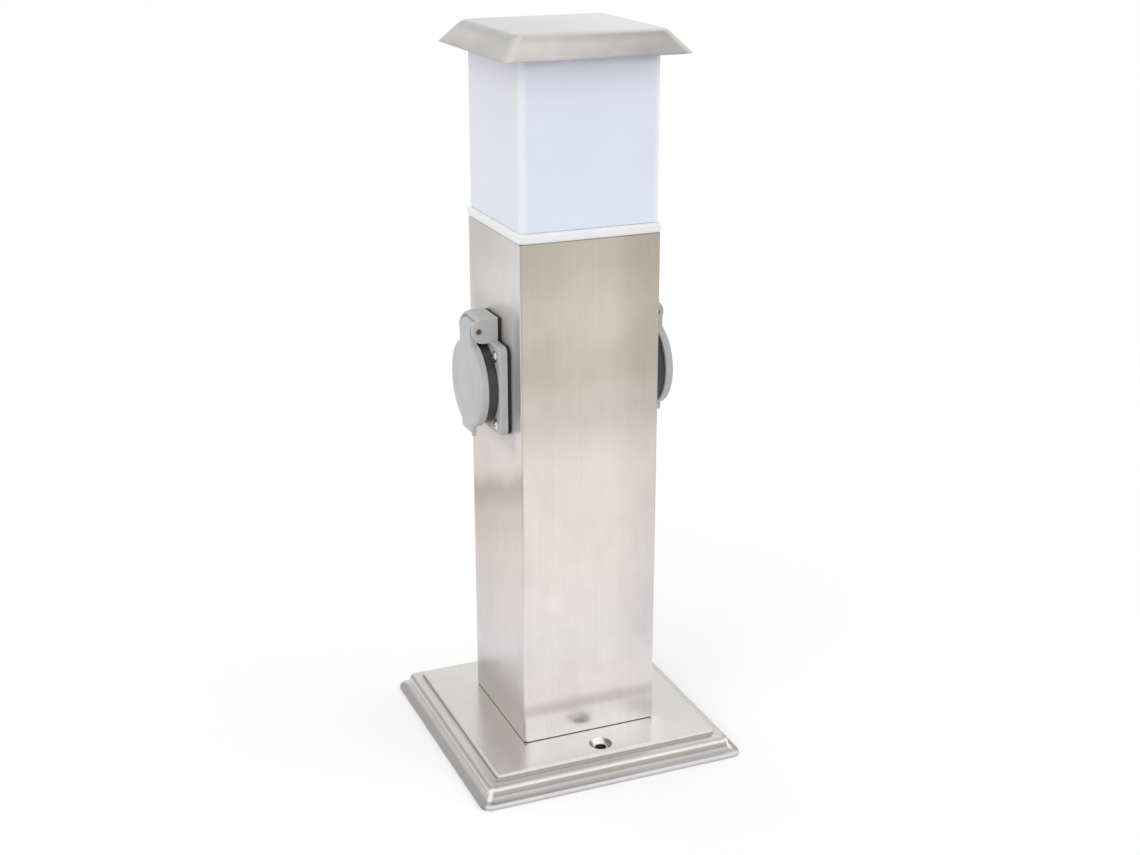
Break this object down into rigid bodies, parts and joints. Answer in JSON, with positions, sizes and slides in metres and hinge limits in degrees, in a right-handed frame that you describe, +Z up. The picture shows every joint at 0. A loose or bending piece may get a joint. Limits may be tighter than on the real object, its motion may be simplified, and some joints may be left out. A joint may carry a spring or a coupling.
{
  "type": "garden socket post",
  "caption": "Square stainless garden post on a pressed base, with a hinged-lid earthed outlet on two opposite faces and an opal lamp under a hipped cap.",
  "frame": {"origin": "centre of the base's underside", "axes": "+Z up along the post; outlets on the -X face (left) and the +X face (right); the two fixing holes lie along Y"},
  "size_m": [0.158, 0.158, 0.4085],
  "materials": {
    "pressed_stainless": "satin pressed stainless sheet",
    "brushed_stainless": "upright brushed stainless sheet",
    "zinc_steel": "zinc plated steel",
    "bright_metal": "bright plated steel",
    "spring_steel": "drawn spring wire",
    "brass": "turned brass",
    "grey_plastic": "fine moulded light grey plastic",
    "black_plastic": "moulded black plastic",
    "white_plastic": "moulded white plastic",
    "opal_plastic": "opal diffusing plastic",
    "opal_glass": "opal lamp globe",
    "black_rubber": "soft black rubber"
  },
  "bodies": {
    "post": {"base_cover": "pressed_stainless", "foot_bracket": "zinc_steel", "foot_screws": "zinc_steel", "foot_nuts": "zinc_steel", "post_tube": "brushed_stainless", "cable_grommet": "black_rubber", "terminal_block": "white_plastic", "terminal_screws": "brass", "block_screws": "zinc_steel", "earth_stud": "brass", "lamp_collar": "white_plastic", "holder_bracket": "zinc_steel", "bracket_screws": "zinc_steel", "lamp_holder": "white_plastic", "holder_nipple": "brass", "bulb_cap": "bright_metal", "bulb_globe": "opal_glass", "diffuser": "opal_plastic", "cap_frame": "white_plastic", "cap_nuts": "zinc_steel", "cap": "pressed_stainless", "left_gasket": "black_rubber", "left_plate": "grey_plastic", "left_socket_body": "black_plastic", "left_contact_base": "black_plastic", "left_earth_clips": "bright_metal", "left_contacts": "brass", "left_contact_screws": "brass", "left_plate_screws": "bright_metal", "left_hinge_pin": "brass", "left_lid_spring": "spring_steel", "right_gasket": "black_rubber", "right_plate": "grey_plastic", "right_socket_body": "black_plastic", "right_contact_base": "black_plastic", "right_earth_clips": "bright_metal", "right_contacts": "brass", "right_contact_screws": "brass", "right_plate_screws": "bright_metal", "right_hinge_pin": "brass", "right_lid_spring": "spring_steel"},
    "left_flap": {"left_lid": "grey_plastic", "left_lid_seal": "black_rubber"},
    "right_flap": {"right_lid": "grey_plastic", "right_lid_seal": "black_rubber"}
  },
  "joints": [
    {"name": "left_lid_hinge", "type": "hinge", "parent": "post", "child": "left_flap", "pos_m": [-0.0526, 0, 0.25], "axis": [0, 1, 0], "range_deg": [0, 100], "stiffness_Nm_per_rad": 0.01, "springref_deg": -28.65, "deforming": ["left_lid_spring"]},
    {"name": "right_lid_hinge", "type": "hinge", "parent": "post", "child": "right_flap", "pos_m": [0.0526, 0, 0.25], "axis": [0, -1, 0], "range_deg": [0, 100], "stiffness_Nm_per_rad": 0.01, "springref_deg": -28.65, "deforming": ["right_lid_spring"]}
  ]
}
